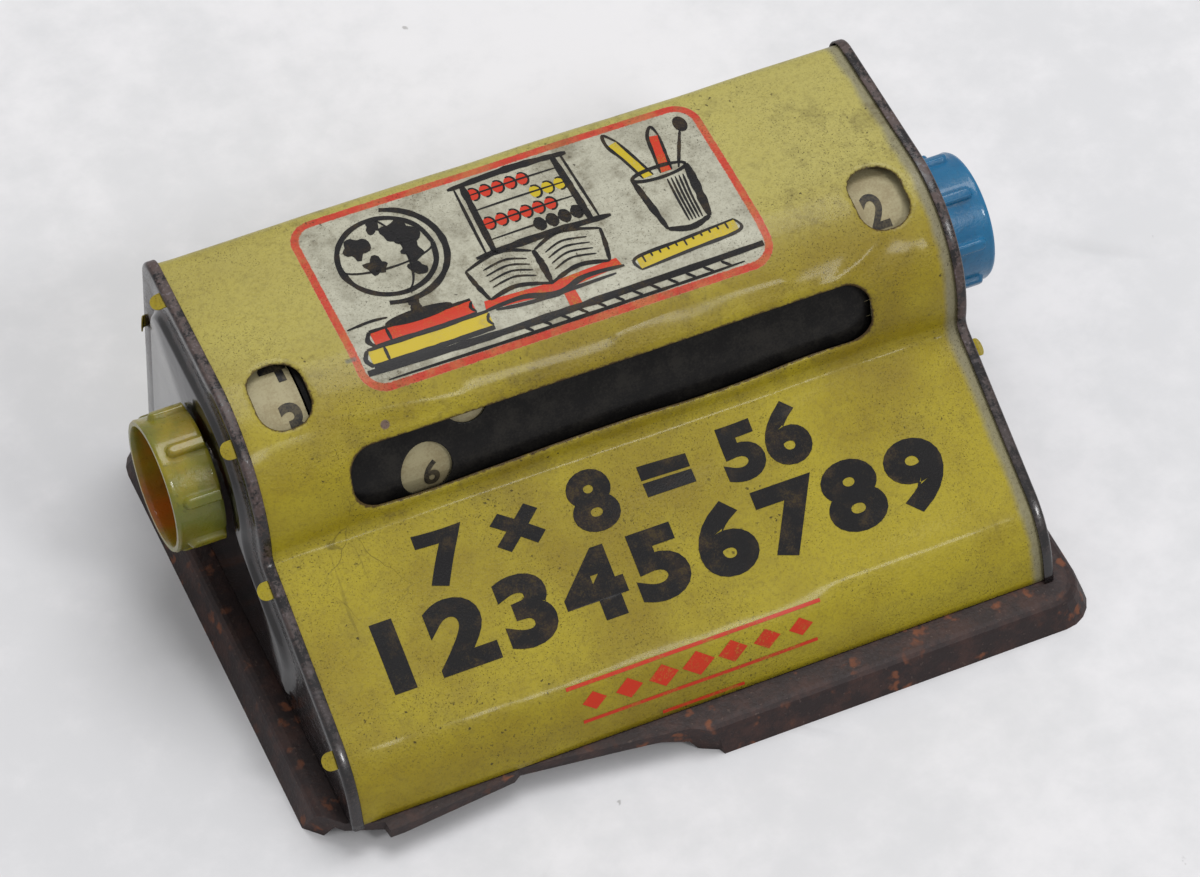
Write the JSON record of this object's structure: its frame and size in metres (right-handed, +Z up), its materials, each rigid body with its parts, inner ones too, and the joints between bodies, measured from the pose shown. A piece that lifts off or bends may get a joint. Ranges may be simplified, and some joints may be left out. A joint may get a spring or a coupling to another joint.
{
  "type": "drum multiplication calculator",
  "caption": "Child's tin calculator: a bent cover with reading windows and a long slot, black end plates, a moulded base, and a knob at each end that turns number drums.",
  "frame": {"origin": "centre of the calculator's footprint, on the plane the base stands on", "axes": "+X along the drum axis to the right knob, -Y towards the user, +Z up"},
  "size_m": [0.21, 0.1398, 0.0753],
  "materials": {
    "base": "dark brown moulded, chipped and speckled with rust",
    "cover": "yellow printed tin, worn",
    "left_end_plate": "glossy black lacquer, worn brown at the rim",
    "right_end_plate": "glossy black lacquer, worn brown at the rim",
    "base_rivet_1": "dull steel",
    "base_rivet_2": "dull steel",
    "base_rivet_3": "dull steel",
    "base_rivet_4": "dull steel",
    "left_bush": "dull steel",
    "right_bush": "dull steel",
    "axle": "dull steel",
    "hollow_shaft": "dull steel",
    "left_number_ring": "cream with black numbers",
    "right_number_ring": "cream with black numbers",
    "inner_drum": "cream with black numbers",
    "inner_drum_left_disc": "cream",
    "inner_drum_right_disc": "cream",
    "outer_sleeve": "black lacquer, scuffed",
    "sleeve_left_disc": "black",
    "sleeve_right_disc": "black",
    "left_knob": "yellow marbled with green and orange",
    "right_knob": "blue"
  },
  "bodies": {
    "case": {"base": "base", "cover": "cover", "left_end_plate": "left_end_plate", "right_end_plate": "right_end_plate", "base_rivet_1": "base_rivet_1", "base_rivet_2": "base_rivet_2", "base_rivet_3": "base_rivet_3", "base_rivet_4": "base_rivet_4", "left_bush": "left_bush", "right_bush": "right_bush"},
    "left_set": {"left_knob": "left_knob", "axle": "axle", "left_number_ring": "left_number_ring", "inner_drum": "inner_drum", "inner_drum_left_disc": "inner_drum_left_disc", "inner_drum_right_disc": "inner_drum_right_disc"},
    "right_set": {"right_knob": "right_knob", "hollow_shaft": "hollow_shaft", "right_number_ring": "right_number_ring", "outer_sleeve": "outer_sleeve", "sleeve_left_disc": "sleeve_left_disc", "sleeve_right_disc": "sleeve_right_disc"}
  },
  "joints": [
    {"name": "left_knob_turn", "type": "hinge", "parent": "case", "child": "left_set", "pos_m": [0, 0.0224, 0.0453], "axis": [1, 0, 0], "continuous": true},
    {"name": "right_knob_turn", "type": "hinge", "parent": "case", "child": "right_set", "pos_m": [0, 0.0224, 0.0453], "axis": [1, 0, 0], "continuous": true}
  ]
}
